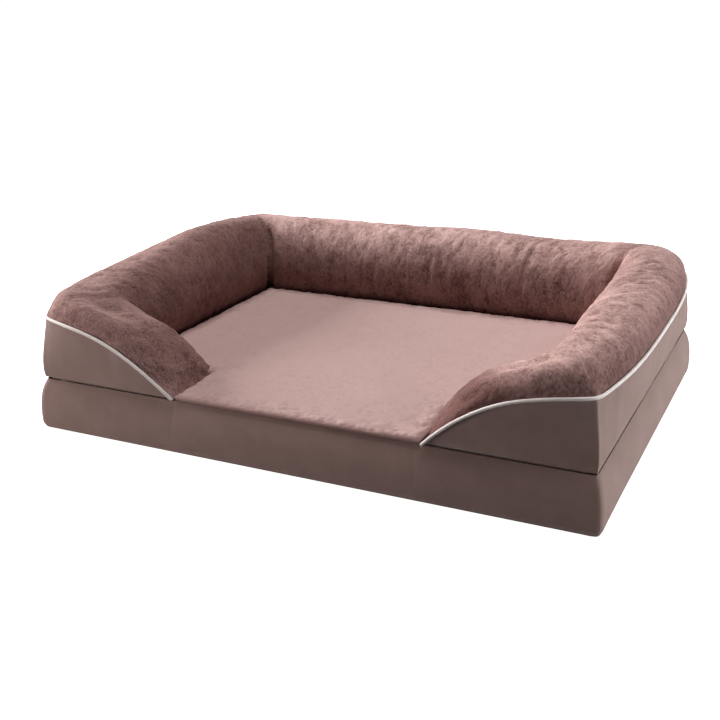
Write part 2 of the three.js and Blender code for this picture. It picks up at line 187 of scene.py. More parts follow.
# ---- Grids ----
def refine(grid, steps, axis=0):
    """Catmull-Rom points between the grid's points, with each of those kept."""
    g = np.moveaxis(grid, axis, 0)
    p0 = np.concatenate([2 * g[:1] - g[1:2], g[:-2]])
    p1, p2 = g[:-1], g[1:]
    p3 = np.concatenate([g[2:], 2 * g[-1:] - g[-2:-1]])
    rows = []
    for k in range(steps):
        t = k / steps
        bend = 2 * p0 - 5 * p1 + 4 * p2 - p3
        rows.append(0.5 * (2 * p1 + (p2 - p0) * t + bend * t**2 + (3 * p1 - p0 - 3 * p2 + p3) * t**3))
    fine = np.stack(rows, axis=1).reshape(-1, *g.shape[1:])
    return np.moveaxis(np.concatenate([fine, g[-1:]]), 0, axis)


def refine_both(grid, steps):
    return refine(refine(grid, steps, 0), steps, 1)


def unit(vectors):
    return vectors / np.maximum(np.linalg.norm(vectors, axis=-1, keepdims=True), 1e-12)


def normals(grid):
    return unit(np.cross(np.gradient(grid, axis=0), np.gradient(grid, axis=1)))


def eased(grid, times):
    """The grid with its inner rows averaged with their neighbours, as often as times says."""
    for _ in range(times):
        grid = np.concatenate([grid[:1], (grid[:-2] + 2 * grid[1:-1] + grid[2:]) / 4, grid[-1:]])
    return grid


def distance_along(line):
    return np.concatenate([[0], np.cumsum(np.linalg.norm(np.diff(line, axis=0), axis=1))])


def lengths(grid, axis):
    """Distance along the grid from its first row or column, averaged over the other way."""
    step = np.linalg.norm(np.diff(grid, axis=axis), axis=-1).mean(axis=1 - axis)
    return np.concatenate([[0], np.cumsum(step)])


def cloth_coordinates(grid):
    """Flat coordinates of the cloth in metres: along the columns and across the rows."""
    along, across = lengths(grid, 0), lengths(grid, 1)
    flat = np.zeros(grid.shape)
    flat[..., 0] = along[:, None]
    flat[..., 1] = across[None, :]
    return flat


# ---- Mesh makers ----
def set_all(thing, **values):
    for key, value in values.items():
        setattr(thing, key, value)


def add_object(name, data):
    obj = bpy.data.objects.new(name, data)
    bpy.context.scene.collection.objects.link(obj)
    return obj


def make_mesh(name, points, faces, smooth=True):
    mesh = bpy.data.meshes.new(name)
    mesh.from_pydata(np.asarray(points).tolist(), [], [list(map(int, f)) for f in faces])
    mesh.validate()
    if smooth:
        mesh.polygons.foreach_set("use_smooth", [True] * len(mesh.polygons))
    mesh.update()
    return add_object(name, mesh)


def quads(index, flip=False):
    """The faces between the rows and columns of a grid of point numbers."""
    faces = np.stack([index[:-1, :-1], index[1:, :-1], index[1:, 1:], index[:-1, 1:]], axis=-1)
    faces = faces.reshape(-1, 4)
    return (faces[:, ::-1] if flip else faces).tolist()


def ring_faces(first, rings, sides, flip=False):
    """The faces of a small solid of stacked rings of points, with a flat face at each end."""
    faces = []
    for k in range(rings - 1):
        for j in range(sides):
            p, q = first + sides * k + j, first + sides * k + (j + 1) % sides
            faces.append([p, q, q + sides, p + sides])
    faces.append([first + j for j in range(sides - 1, -1, -1)])
    faces.append([first + sides * (rings - 1) + j for j in range(sides)])
    return [face[::-1] for face in faces] if flip else faces


def apply_modifiers(obj):
    """Gives a piece the shape that its modifiers make, and takes them off."""
    bpy.context.view_layer.update()
    shape = bpy.data.meshes.new_from_object(obj.evaluated_get(bpy.context.evaluated_depsgraph_get()))
    obj.modifiers.clear()
    obj.data = shape


def edge_faces(fine, coarse, ratio):
    """Triangles that close the edge between a fine line and a coarse one behind it."""
    faces = []
    for k in range(len(coarse) - 1):
        for j in range(ratio):
            a, b = fine[k * ratio + j], fine[k * ratio + j + 1]
            faces.append((b, a, coarse[k + (2 * j >= ratio)]))
            if j == (ratio - 1) // 2:
                faces.append((b, coarse[k], coarse[k + 1]))
    return faces


def closed_sheet(name, outer, facing, thickness, ratio=1):
    """A closed piece of cloth: the outer grid, and a coarser inner one joined to it round the edge."""
    inner = (outer - facing * thickness)[::ratio, ::ratio]
    n, m = outer.shape[:2]
    p, q = inner.shape[:2]
    out_index = np.arange(n * m).reshape(n, m)
    in_index = np.arange(p * q).reshape(p, q) + n * m
    faces = quads(out_index) + quads(in_index, flip=True)
    for side in (np.s_[:, 0], np.s_[::-1, -1], np.s_[-1], np.s_[0, ::-1]):
        faces += edge_faces(out_index[side], in_index[side], ratio)
    points = np.concatenate([outer.reshape(-1, 3), inner.reshape(-1, 3)])
    obj = make_mesh(name, points, faces)
    sharpen_rim(obj, out_index)
    set_cloth(obj, cloth_coordinates(outer), cloth_coordinates(inner))
    return obj


def sharpen_rim(obj, index):
    """Keeps the shading of the outer face of a cloth from bending round its cut edge."""
    rim = np.zeros(len(obj.data.vertices), bool)
    rim[np.concatenate([index[0], index[-1], index[:, 0], index[:, -1]])] = True
    ends = np.empty(2 * len(obj.data.edges), int)
    obj.data.edges.foreach_get("vertices", ends)
    on_rim = rim[ends.reshape(-1, 2)].all(axis=1)
    sharp = obj.data.attributes.new("sharp_edge", "BOOLEAN", "EDGE")
    sharp.data.foreach_set("value", on_rim)


def tube_mesh_data(rings):
    """Points and faces of a closed tube: rings of points, each end closed to its middle."""
    n, m = rings.shape[:2]
    index = np.arange(n * m).reshape(n, m)
    wrapped = np.concatenate([index, index[:, :1]], axis=1)
    faces = quads(wrapped)
    for line, centre, flip in ((wrapped[0], n * m, False), (wrapped[-1], n * m + 1, True)):
        for a, b in zip(line, line[1:]):
            faces.append((centre, b, a) if flip else (centre, a, b))
    points = np.concatenate([rings.reshape(-1, 3), rings[[0, -1]].mean(axis=1)])
    return points, faces


def set_attribute(obj, name, values, kind="FLOAT"):
    """Values at the vertices for the material to read; vertices past the end of them get 0."""
    width, field = (1, "value") if kind == "FLOAT" else (3, "vector")
    flat = np.reshape(values, (-1, width))
    data = np.zeros((len(obj.data.vertices), width))
    data[:len(flat)] = flat
    obj.data.attributes.new(name, kind, "POINT").data.foreach_set(field, data.ravel())


def set_cloth(obj, *parts):
    """The flat coordinates of the cloth, which the weave follows."""
    parts = [part.reshape(-1, 3) for part in parts]
    set_attribute(obj, "cloth", np.concatenate(parts), "FLOAT_VECTOR")


# ---- Cloth simulation ----
FRAMES = 20


def inflate(points, faces, pinned, pressure, slack, cap):
    """The points after the cloth, larger by the share slack, is blown up; none moves more than cap."""
    obj = make_mesh("cloth_trial", points, faces)
    group = obj.vertex_groups.new(name="pinned")
    for level in np.unique(pinned.round(2)):
        if level > 0:
            group.add(np.nonzero(pinned.round(2) == level)[0].tolist(), float(level), "REPLACE")
    modifier = obj.modifiers.new("cloth", "CLOTH")
    set_all(
        modifier.settings, quality=5, mass=0.3, tension_stiffness=15, compression_stiffness=15,
        shear_stiffness=5, bending_stiffness=0.6, tension_damping=8, compression_damping=8,
        air_damping=3, use_pressure=True, uniform_pressure_force=pressure, shrink_min=-slack,
        vertex_group_mass="pinned", pin_stiffness=1
    )
    modifier.settings.effector_weights.gravity = 0
    set_all(modifier.point_cache, frame_start=1, frame_end=FRAMES)
    for number in range(1, FRAMES + 1):
        bpy.context.scene.frame_set(number)
    settled = obj.evaluated_get(bpy.context.evaluated_depsgraph_get()).to_mesh()
    moved = np.empty(len(points) * 3)
    settled.vertices.foreach_get("co", moved)
    bpy.data.meshes.remove(obj.data)
    bpy.context.scene.frame_set(1)
    change = moved.reshape(-1, 3) - points
    size = np.linalg.norm(change, axis=1, keepdims=True)
    return points + change * np.minimum(1, cap / np.maximum(size, 1e-9))


# ---- Materials ----
LOOK = "look_"  # goes before the name of the record's slot that a material is for


def new_material(name):
    material = bpy.data.materials.new(LOOK + name)
    material.use_nodes = True
    tree = material.node_tree
    return tree, tree.nodes["Principled BSDF"], material


def feed(tree, made, **inputs):
    """Sets a node's inputs to values or links them to sockets; a key is a name, or i and a number."""
    for key, value in inputs.items():
        socket = made.inputs[int(key[1:]) if key.startswith("i") else key.replace("_", " ")]
        if isinstance(value, bpy.types.NodeSocket):
            tree.links.new(value, socket)
        else:
            socket.default_value = value
    return made


def node(tree, kind, settings=(), **inputs):
    """A new node with its settings and inputs."""
    made = tree.nodes.new("ShaderNode" + kind)
    set_all(made, **dict(settings))
    return feed(tree, made, **inputs)


def maths(tree, operation, *values):
    inputs = {f"i{k}": value for k, value in enumerate(values)}
    return node(tree, "Math", dict(operation=operation), **inputs).outputs[0]


def colour_mix(tree, factor, dark, light, blend="MIX"):
    settings = dict(data_type="RGBA", blend_type=blend)
    return node(tree, "Mix", settings, i0=factor, i6=dark, i7=light).outputs[2]


def noise_texture(tree, place, scale, detail, roughness=0.5):
    made = node(tree, "TexNoise", Vector=place, Scale=scale, Detail=detail, Roughness=roughness)
    return made.outputs["Fac"]


def bump(tree, height, distance, strength):
    return node(tree, "Bump", Distance=distance, Strength=strength, Height=height).outputs[0]


def attribute(tree, name, output="Fac"):
    return node(tree, "Attribute", dict(attribute_name=name)).outputs[output]


def plush_material(name, dark, light, grain, contrast, patchy):
    """Cut pile: light tips and dark roots, the dark partly painted shade between clumps, with fine
    streaks along the way the pile lies.
    """
    tree, shader, material = new_material(name)
    cloth = attribute(tree, "cloth", "Vector")
    streaks = node(tree, "Mapping", Vector=cloth, Scale=(1 / grain, 0.45 / grain, 1 / grain)).outputs[0]
    fine = noise_texture(tree, streaks, 1.0, 3.0, 0.6)
    patches = noise_texture(tree, cloth, 45.0, 3.0, 0.6)
    shade = maths(tree, "MULTIPLY_ADD", fine, contrast, attribute(tree, "pile"))
    shade = maths(tree, "MULTIPLY_ADD", patches, patchy, shade)
    darkest = 0.36 * contrast + 0.5 * patchy + 0.025
    lightest = 0.66 * contrast + 0.5 * patchy + 0.575
    level = node(tree, "MapRange", From_Min=darkest, From_Max=lightest, Value=shade).outputs[0]
    colour = colour_mix(tree, level, (*dark, 1), (*light, 1))
    # Painted shade on the inner faces, by the piping and at the tips, multiplied in as a dark brown.
    colour = colour_mix(tree, attribute(tree, "nap"), colour, (0.30, 0.225, 0.22, 1), "MULTIPLY")
    sheen = (*(min(1, c * 1.5) for c in light), 1)
    feed(tree, shader, Base_Color=colour, Roughness=0.95, Specular_IOR_Level=0.1, Sheen_Weight=0.16,
         Sheen_Roughness=0.45, Sheen_Tint=sheen, Normal=bump(tree, fine, grain * 0.5, 0.3))
    return material


def woven_material(name, dark, light, thread=0.0006, sheen=0.2, relief=0.6):
    """Plain weave: threads that cross over and under, with soft patches of wear."""
    tree, shader, material = new_material(name)
    cloth = attribute(tree, "cloth", "Vector")
    split = node(tree, "SeparateXYZ", i0=cloth).outputs
    waves = [maths(tree, "SINE", maths(tree, "MULTIPLY", split[k], math.pi / thread)) for k in range(2)]
    weave = maths(tree, "MULTIPLY", *waves)
    patches = noise_texture(tree, cloth, 16.0, 5.0, 0.6)
    slub = noise_texture(tree, cloth, 0.5 / thread, 2.0)
    shade = maths(tree, "MULTIPLY_ADD", slub, 0.5, patches)
    shade = maths(tree, "MULTIPLY_ADD", weave, 0.08, shade)
    level = node(tree, "MapRange", From_Min=0.45, From_Max=1.05, Value=shade).outputs[0]
    feed(tree, shader, Base_Color=colour_mix(tree, level, (*dark, 1), (*light, 1)), Roughness=0.75,
         Specular_IOR_Level=0.3, Sheen_Weight=sheen, Sheen_Roughness=0.4,
         Normal=bump(tree, weave, thread * 0.4, relief))
    return material


def foam_material(name, dark, light, cell):
    """Open cells of foam, or the fibres of stuffing when the cells are large."""
    tree, shader, material = new_material(name)
    place = node(tree, "TexCoord").outputs["Object"]
    cells = node(tree, "TexVoronoi", Vector=place, Scale=1 / cell).outputs["Distance"]
    tone = noise_texture(tree, place, 9.0, 4.0)
    feed(tree, shader, Base_Color=colour_mix(tree, tone, (*dark, 1), (*light, 1)), Roughness=0.95,
         Specular_IOR_Level=0.2, Normal=bump(tree, cells, cell * 0.4, 0.6))
    return material


def metal_material(name):
    """Die-cast zip metal, brushed and a little worn."""
    tree, shader, material = new_material(name)
    place = node(tree, "TexCoord").outputs["Object"]
    lines = node(tree, "Mapping", Vector=place, Scale=(300.0, 4000.0, 4000.0)).outputs[0]
    brushed = noise_texture(tree, lines, 1.0, 4.0)
    colour = colour_mix(tree, brushed, (0.24, 0.22, 0.21, 1), (0.46, 0.44, 0.42, 1))
    rough = node(tree, "MapRange", Value=brushed, To_Min=0.28, To_Max=0.5).outputs[0]
    feed(tree, shader, Base_Color=colour, Roughness=rough, Metallic=0.9,
         Normal=bump(tree, brushed, 0.00004, 0.4))
    return material


PLUSH = plush_material(
    "bolster_plush", (0.150, 0.074, 0.064), (0.66, 0.44, 0.41), grain=0.0018, contrast=1.4, patchy=0.5
)
SLEEP_PLUSH = plush_material(
    "sleep_plush", (0.345, 0.222, 0.208), (0.525, 0.365, 0.345), grain=0.0018, contrast=0.4, patchy=0.15
)
WOVEN = woven_material("woven", (0.235, 0.150, 0.132), (0.330, 0.222, 0.198))
PIPING = woven_material("piping", (0.82, 0.75, 0.73), (0.95, 0.90, 0.87), thread=0.0004)
LINING = woven_material("lining", (0.10, 0.075, 0.07), (0.15, 0.115, 0.105), thread=0.0008)
BOTTOM = woven_material("bottom_fabric", (0.11, 0.085, 0.08), (0.16, 0.125, 0.115), thread=0.001)
FOAM = foam_material("foam", (0.72, 0.62, 0.42), (0.84, 0.76, 0.58), cell=0.002)
FIBRE = foam_material("fibre", (0.80, 0.78, 0.74), (0.92, 0.91, 0.88), cell=0.006)
ZIP_TAPE = woven_material("zip_tape", (0.22, 0.145, 0.13), (0.31, 0.21, 0.19), thread=0.0005)
ZIP_TEETH = woven_material("zip_teeth", (0.19, 0.13, 0.115), (0.25, 0.175, 0.155), 0.0003, sheen=0.0)
ZIP_METAL = metal_material("zip_metal")


def settle(obj, material, nodes=(), body="root"):
    """Gives a piece its material and slot and its body, and hides the CAD nodes that it stands for."""
    obj.data.materials.clear()
    obj.data.materials.append(material)
    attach(obj, body)
    if nodes:
        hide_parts(*nodes)
    return obj


def declare_cloth(pattern):
    """Works out the area of a piece's cloth, cut to the size of a grid of points before it was sewn and
    stuffed; nothing is done with it.
    """
    along, across = np.diff(pattern, axis=0)[:, :-1], np.diff(pattern, axis=1)[:-1]
    area = np.linalg.norm(np.cross(along, across), axis=-1).sum()
    width, length = (np.linalg.norm(np.diff(pattern, axis=k), axis=-1).sum(axis=k).max() for k in (1, 0))
    area = min(area, width * length)


# ---- Bolster ----
def bezier(p):
    t = np.linspace(0, 1, 24)[:, None]
    a, b, c, d = (np.array(q, float) for q in p)
    return a * (1 - t) ** 3 + 3 * b * t * (1 - t) ** 2 + 3 * c * t**2 * (1 - t) + d * t**3


def even_points(line, count):
    place = distance_along(line)
    at = np.linspace(0, place[-1], count)
    return points_at(*(np.interp(at, place, column) for column in line.T))


def plush_line(inset=0.0):
    """(inward, height) from the piping over the crown and down to the foot."""
    crown = (CROWN_INWARD, CROWN_Z - 0.003 - inset)
    bulge = (BULGE - inset, BULGE_Z)
    foot = (FOOT - inset, BOLSTER_BASE)
    top = crown[1]
    up = [(inset, PIPING_Z), (inset, PIPING_Z + 0.03), (CROWN_INWARD - 0.030, top), crown]
    over = [crown, (CROWN_INWARD + 0.034, top), (bulge[0], BULGE_Z + 0.042), bulge]
    down = [bulge, (bulge[0], BULGE_Z - 0.022), (foot[0] + 0.008, BOLSTER_BASE + 0.018), foot]
    return np.concatenate([bezier(up), bezier(over)[1:], bezier(down)[1:]])


def bolster_section():
    """The closed section: up the wall, over the plush, and back along the bottom."""
    f = np.linspace(0, 1, WALL_ROWS)
    wall = points_at(SEAM_INSET * (1 - f) ** 6, BOLSTER_BASE + (PIPING_Z - BOLSTER_BASE) * f)
    plush = even_points(plush_line(), PLUSH_ROWS)
    back = np.linspace(plush[-1], wall[0], BOTTOM_ROWS + 2)[1:-1]
    return np.concatenate([wall, plush[1:], back])


def wall_height(run, s):
    """Height of the wall along a run, as a share of its full height above the base."""
    return 1 - from_corner(run, s) ** 2.5 if run["tip"] is not None else np.ones_like(s)


def crown_height(run, s):
    """Height of the crown along a run, as a share of its full height, rounded off at the tip."""
    ridge = refine(np.array(run["ridge"])[:, None], 8)[:, 0]
    height = np.interp(s, np.linspace(0, 1, len(ridge)), ridge)
    if run["tip"] is None:
        return height
    from_end = (1 - from_corner(run, s)) * (run["end"] - run["start"])
    return height * (0.06 + 0.94 * rolled(from_end, TIP_ROUND))


def from_corner(run, s):
    """How far along a front run from its corner, from 0 to 1 at its tip."""
    return 1 - s if run["tip"] == 0 else s


def run_points(run, share, profile):
    """The points of a run: share along its length, by the points of the profile."""
    inward, z = profile[None, :, 0], profile[None, :, 1]
    s = share[:, None]
    mitres = (run["tip"] != 0, run["tip"] != 1)
    rise = np.clip((z - BOLSTER_BASE) / (PIPING_Z - BOLSTER_BASE), 0, 1)
    pull = rise * fading(inward, CROWN_INWARD, BULGE)
    corner = inward + pull * CORNER_PULL
    at_end = np.where(s < 0.5, mitres[0], mitres[1]) * CORNER_PULL
    bow = SIDE_BOW if run["turn"] % 2 else FRONT_BOW
    bow = bow + (-at_end - bow) * np.abs(2 * s - 1) ** 3
    begin = run["start"] + mitres[0] * corner
    finish = run["end"] - mitres[1] * corner
    wall, crown = wall_height(run, s), crown_height(run, s)
    height = wall + (crown - wall) * smoothstep(inward, 0, CROWN_INWARD)
    x = begin + (finish - begin) * s
    y = inward - pull * bow - (HALF_WIDTH if run["turn"] % 2 else HALF_DEPTH)
    turn = run["turn"] * math.pi / 2
    cosine, sine = round(math.cos(turn)), round(math.sin(turn))
    z = BOLSTER_BASE + (z - BOLSTER_BASE) * height
    return points_at(x * cosine - y * sine, x * sine + y * cosine, z)


def bolster_rings():
    """The whole bolster as rings of points, and the number of the first ring of each run."""
    profile = bolster_section()
    rings, firsts = [], []
    for run in RUNS:
        count = round((run["end"] - run["start"]) / STEP)
        points = run_points(run, np.linspace(0, 1, count + 1), profile)
        firsts.append(sum(len(part) for part in rings))
        rings.append(points if run is RUNS[-1] else points[:-1])
    rings = np.concatenate(rings)
    return rings, firsts + [len(rings) - 1]


def bolster_pins(rings, firsts):
    """How firmly each point is held: foot and ends fully, mitres and piping partly, the rest not."""
    held = np.zeros(rings.shape[:2])
    held[:, WALL_ROWS - 1] = 0.45
    for first in firsts[1:-1]:
        held[first] = 0.75
        for beside in (first - 1, first + 1):
            held[beside] = np.maximum(held[beside], 0.2)
    for seam in (held[:, WALL_ROWS + PLUSH_ROWS - 2:], held[:, 0], held[:2], held[-2:]):
        seam[:] = 1
    return np.concatenate([held.ravel(), [1, 1]])


def simulate_bolster():
    rings, firsts = bolster_rings()
    points, faces = tube_mesh_data(rings)
    moved = inflate(
        points, faces, bolster_pins(rings, firsts), pressure=4.0, slack=0.012, cap=0.010
    )
    return moved[:-2].reshape(rings.shape), firsts, rings


def round_corners(plush, firsts):
    """The plush with the outer side of each corner rounded above the piping."""
    along, across = lengths(plush, 0), lengths(plush, 1)
    soft = eased(plush, 8)
    outer = smoothstep(across, 0, 0.02) * fading(across, 0.45 * across[-1], 0.65 * across[-1])
    near = sum(fading(np.abs(along - along[first]), 0, 0.045) for first in firsts[1:-1])
    return plush + (soft - plush) * (near[:, None] * outer)[..., None]


def crease(distance, width, depth):
    """A soft groove across distance, as deep as depth at 0 and gone at width."""
    return depth * fading(np.abs(distance), 0, width) ** 1.5


def pile_surface(plush, firsts):
    """The fine surface of the pile, its directions outwards, how light it is, and the painted shade on
    it.
    """
    fine = refine_both(plush, PLUSH_FINE)
    out = normals(fine)
    flat = cloth_coordinates(fine)
    along, across = flat[..., 0], flat[..., 1]
    fibres = flat * np.array([1.0, 0.62, 1.0])
    fibres = fibres + 0.0016 * noise_vectors(flat, 0.006, SEED + 1)
    clump = clumps(fibres, CLUMP, SEED + 10)
    tuft = layered_noise(fibres, 0.011, SEED + 20, 2)
    lumps = layered_noise(fine, 0.055, SEED + 30)
    large = soft_noise(fine, 0.16, SEED + 40)
    height = 0.0004 * (clump - 0.6) + 0.0013 * tuft + 0.0014 * lumps + 0.0018 * large
    total = across[0, -1]
    at_back = smoothstep(across, 0.3 * total, 0.7 * total)
    at_front = smoothstep(across, 0.5 * total, 0.8 * total)
    for number, inner in zip((1, 2, 3, 4), (at_front, at_back, at_back, at_front)):
        place = along[firsts[number] * PLUSH_FINE, 0]
        bend = 0.004 * soft_noise(flat * [0, 1, 0], 0.05, SEED + number)
        height -= crease(along - place + bend, 0.013, 0.0100) * (0.06 + 0.94 * inner)
    # A shallow tuck across the back run, about a quarter of the way along it.
    tuck = along[firsts[3] * PLUSH_FINE, 0] * 0.24 + along[firsts[2] * PLUSH_FINE, 0] * 0.76
    height -= crease(along - tuck, 0.008, 0.0022) * smoothstep(across, 0.3 * total, 0.5 * total)
    edge = np.minimum(smoothstep(across, 0, 0.006), smoothstep(total - across, 0, 0.006))
    ends = smoothstep(np.minimum(along, along[-1, 0] - along), 0, 0.006)
    height = height * edge * ends - 0.0006 * (1 - edge)
    # Pile tone: random tufts and lumps, and clumps light at their tips with painted shade in the hollows
    # between them.
    light = 0.05 + 0.47 * clump + 0.34 * tuft + 0.30 * lumps
    # Painted shade on the inner faces, by the piping and at the tips, varied a little with the tufts.
    nap = nap_shade(along[:, 0], across[0] / total, firsts) * (1 + 0.25 * tuft)
    return fine + out * height[..., None], out, light, np.clip(nap, 0, 1)


def nap_shade(along, over, firsts):
    """How much painted shade darkens the pile: on the inner faces, by the piping and at the tips."""
    shade = np.zeros((len(along), len(over)))
    for number, run in enumerate(RUNS):
        start, end = (along[firsts[number + k] * PLUSH_FINE] for k in (0, 1))
        inside = smoothstep(along, start - 0.03, start + 0.03)
        inside = inside * fading(along, end - 0.03, end + 0.03)
        down = run["nap"] * smoothstep(over, *run["nap_from"])[None]
        down = down + run["nap_out"] * fading(over, 0.04, 0.30)[None]
        if run["tip"] is not None:
            share = np.clip((along - start) / (end - start), 0, 1)
            down = down + run["nap_tip"] * smoothstep(from_corner(run, share), 0.25, 0.65)[:, None]
        shade += inside[:, None] * down
    return shade


def piece_columns(grid, first, last, factor):
    """The part of a refined grid that one piece covers."""
    return grid[first * factor:last * factor + 1]


def build_bolster():
    rings, firsts, sewn = simulate_bolster()
    wall = rings[:, :WALL_ROWS]
    plush = rings[:, WALL_ROWS - 1:WALL_ROWS + PLUSH_ROWS - 1]
    pile, out, light, nap = pile_surface(round_corners(plush, firsts), firsts)
    wall_fine = refine_both(wall, WALL_FINE)
    flat = cloth_coordinates(wall_fine)
    down = 1 - flat[..., 1] / flat[0, -1, 1]
    pleats = soft_noise(flat * [1, 0.12, 1], 0.022, SEED + 50) * (1 - 0.65 * down)
    sag = layered_noise(flat * [1, 0.6, 1], 0.09, SEED + 51)
    top_and_foot = smoothstep(down, 0, 0.06) * smoothstep(1 - down, 0, 0.06)
    relief = (0.0011 * pleats + 0.0016 * sag) * top_and_foot
    wall_out = normals(wall_fine)
    wall_fine = wall_fine + wall_out * relief[..., None]
    for run, first, last in zip(RUNS, firsts, firsts[1:]):
        name = run["name"]
        outer, facing = (piece_columns(grid, first, last, WALL_FINE) for grid in (wall_fine, wall_out))
        cloth = closed_sheet(name + "_wall_cloth", outer, facing, FABRIC)
        settle(cloth, WOVEN, [name + "_wall"])
        declare_cloth(sewn[first:last + 1, :WALL_ROWS])
        outer, facing, shade, painted_darkening = (
            piece_columns(grid, first, last, PLUSH_FINE) for grid in (pile, out, light, nap)
        )
        cover = closed_sheet(name + "_plush_cover", outer, facing, PLUSH_THICK, PLUSH_FINE)
        set_attribute(cover, "pile", shade)
        # Painted shade on the pile, for the material to multiply in.
        set_attribute(cover, "nap", painted_darkening)
        settle(cover, PLUSH, [name + "_plush"])
        build_fill(run)
    build_piping(wall[:, -1])


def build_fill(run):
    """The loose fibre inside one bolster, kept clear of its cover."""
    line = even_points(plush_line(FILL_GAP), 26)
    line = line[line[:, 1] > BOLSTER_BASE + 0.006]
    foot = (FOOT - FILL_GAP - 0.002, BOLSTER_BASE + 0.004)
    profile = np.concatenate([[(FILL_GAP + 0.002, BOLSTER_BASE + 0.006)], line, [foot]])
    length = run["end"] - run["start"]
    low, high = ((0.05 if run["tip"] == end else FILL_GAP) / length for end in (0, 1))
    rings = run_points(run, np.linspace(low, 1 - high, max(8, round(length / 0.014))), profile)
    centre = rings.mean(axis=1, keepdims=True)
    lumps = layered_noise(rings, 0.04, SEED + 60)
    rings = centre + (rings - centre) * (0.93 + 0.05 * lumps[..., None])
    obj = make_mesh(run["name"] + "_fibre_fill", *tube_mesh_data(rings))
    settle(obj, FIBRE, [run["name"] + "_fill"])


def cord_rings(line, radius):
    """Rings of points round a line, of a radius given for each of its points."""
    ahead = unit(np.gradient(line, axis=0))
    side = unit(np.cross(ahead, [0, 0, 1]))
    up = np.cross(side, ahead)
    angle = np.linspace(0, 2 * math.pi, 12, endpoint=False)[:, None]
    ring = np.cos(angle) * side[:, None] + np.sin(angle) * up[:, None]
    return line[:, None] + ring * radius[:, None, None]


def build_piping(seam):
    """Covered cord sewn into the top seam of the walls, with the small puckers of its bias cover."""
    fine = refine(eased(seam, 2), 6)
    place = distance_along(fine)
    out = unit(np.cross(np.gradient(fine, axis=0), [0, 0, 1]))
    fine = fine + out * (PIPING_RADIUS * 0.75)
    along = place[:, None] * np.array([1.0, 0, 0])
    puckers = 0.05 * soft_noise(along, 0.006, SEED + 70) + 0.05 * soft_noise(along, 0.03, SEED + 71)
    rings = cord_rings(fine, PIPING_RADIUS * (1 + puckers))
    cord = make_mesh("piping_cord", *tube_mesh_data(rings))
    flat = np.zeros(rings.shape)
    flat[..., 0] = place[:, None]
    flat[..., 1] = np.linspace(0, 2 * math.pi * PIPING_RADIUS, rings.shape[1])[None]
    set_cloth(cord, flat)
    settle(cord, PIPING, ["piping"])


build_bolster()


# ---- Base ----
# The pieces of the band, anticlockwise from the left end of the entrance.
BANDS = [
    "front_band_centre", "front_band_right", "right_band", "back_band", "left_band", "front_band_left"
]

# The slot for the zip: half its height, the height of its middle, and how far it reaches to each side.
ZIP_HALF = 0.006
ZIP_MIDDLE = (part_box("zip_tape_lower")[0].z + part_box("zip_tape_upper")[1].z) / 2
ZIP_ENDS = [corner.x for stop in ("zip_stop_open", "zip_stop_closed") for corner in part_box(stop)]
ZIP_REACH = max(map(abs, ZIP_ENDS)) + 0.002


def arc(corner, first, last):
    """Points on the round of a corner between two angles, in eighths of a turn."""
    angle = np.linspace(first, last, 5) * math.pi / 4
    centre = np.array(corner) * (np.array([HALF_WIDTH, HALF_DEPTH]) - CORNER_RADIUS)
    return centre + CORNER_RADIUS * points_at(np.cos(angle), np.sin(angle))


def base_lines():
    """The outline of the base, one line of points for each band, each ending where the next starts."""
    entrance = np.array([[-ENTRANCE, -HALF_DEPTH], [ENTRANCE, -HALF_DEPTH]])
    lines = [
        entrance,
        np.concatenate([entrance[1:], arc((1, -1), -2, -1)]),
        np.concatenate([arc((1, -1), -1, 0), arc((1, 1), 0, 1)]),
        np.concatenate([arc((1, 1), 1, 2), arc((-1, 1), 2, 3)]),
        np.concatenate([arc((-1, 1), 3, 4), arc((-1, -1), 4, 5)]),
        np.concatenate([arc((-1, -1), 5, 6), entrance[:1]]),
    ]
    return [even_points(line, round(distance_along(line)[-1] / BAND_STEP) + 1) for line in lines]


def beside_zip(outline):
    """1 where the tape of the zip holds the back band flat, falling to 0 beyond its ends."""
    at_back = smoothstep(outline[:, 1], 0.97 * HALF_DEPTH, 0.995 * HALF_DEPTH)
    return at_back * fading(np.abs(outline[:, 0]), ZIP_REACH, ZIP_REACH + 0.04)


def base_rings():
    lines = base_lines()
    outline = np.concatenate([line[:-1] for line in lines])
    firsts = np.cumsum([0] + [len(line) - 1 for line in lines])
    f = np.linspace(0, 1, BAND_ROWS)
    swell = BASE_SWELL * np.sin(math.pi * f**0.7) ** 0.6 * (1 - f**6)
    inset = SEAM_INSET * f**8 - 0.003 * (1 - f) ** 4 - swell * (1 - beside_zip(outline)[:, None])
    z = 0.0006 + (BASE_TOP - 0.0014) * f  # clear of the floor and of the panel's seam
    points = np.empty((len(outline), BAND_ROWS, 3))
    points[..., :2] = outline[:, None] * (1 - inset[..., None] / np.array([HALF_WIDTH, HALF_DEPTH]))
    points[..., 2] = z
    return points, firsts


def simulate_base():
    rings, firsts = base_rings()
    n, m = rings.shape[:2]
    points, faces = tube_mesh_data(np.transpose(rings, (1, 0, 2))[::-1])
    held = np.zeros((m, n))
    held[:, firsts[:-1]] = 0.5
    held[0] = held[-1] = 1
    held = np.maximum(held, 0.95 * beside_zip(rings[:, 0])[None])
    pinned = np.concatenate([held.ravel(), [1, 1]])
    moved = inflate(points, faces, pinned, pressure=2.0, slack=0.004, cap=0.005)
    moved = np.transpose(moved[:-2].reshape(m, n, 3)[::-1], (1, 0, 2))
    change = moved - rings
    for _ in range(10):
        change = (np.roll(change, 1, axis=0) + 2 * change + np.roll(change, -1, axis=0)) / 4
    moved = rings + change
    return np.concatenate([moved, moved[:1]]), firsts, np.concatenate([rings, rings[:1]])


# Turns the cells of the noise out of line with the sides of the bed, so that no fold follows them.
TILT = np.array(Matrix.Rotation(0.6, 3, (1, 2, 3)))


